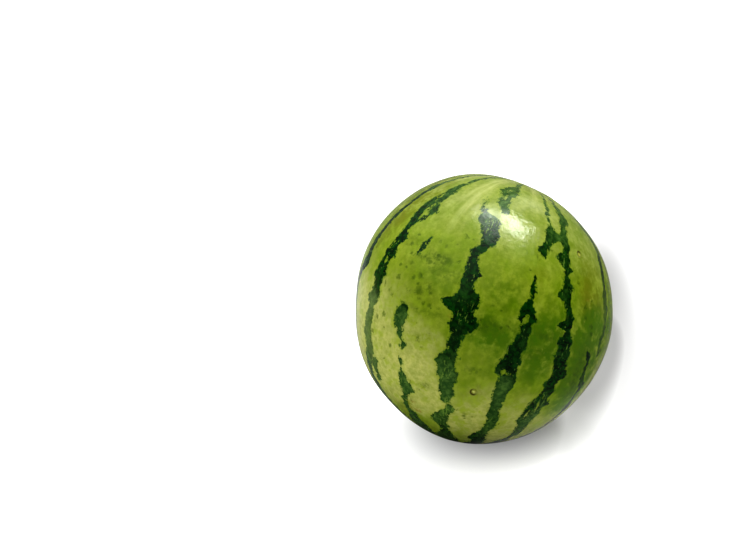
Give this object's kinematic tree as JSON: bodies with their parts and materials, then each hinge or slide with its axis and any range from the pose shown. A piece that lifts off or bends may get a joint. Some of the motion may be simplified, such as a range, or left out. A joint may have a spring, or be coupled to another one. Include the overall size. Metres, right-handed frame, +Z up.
{
  "type": "watermelon",
  "caption": "Whole small round watermelon with a pale green rind and ragged dark stripes, resting on its blossom end.",
  "frame": {"origin": "under the middle of the fruit, on the surface that it rests on", "axes": "+Z up, +X to the right and +Y away from the camera in the source picture; the stem end is up and leans towards +X and a little towards +Y"},
  "size_m": [0.207, 0.2076, 0.218],
  "materials": {
    "rind": "hard waxy rind with a soft gloss, pale yellow-green with ragged dark green stripes from end to end"
  },
  "bodies": {
    "root": {"watermelon": "rind"}
  },
  "joints": []
}
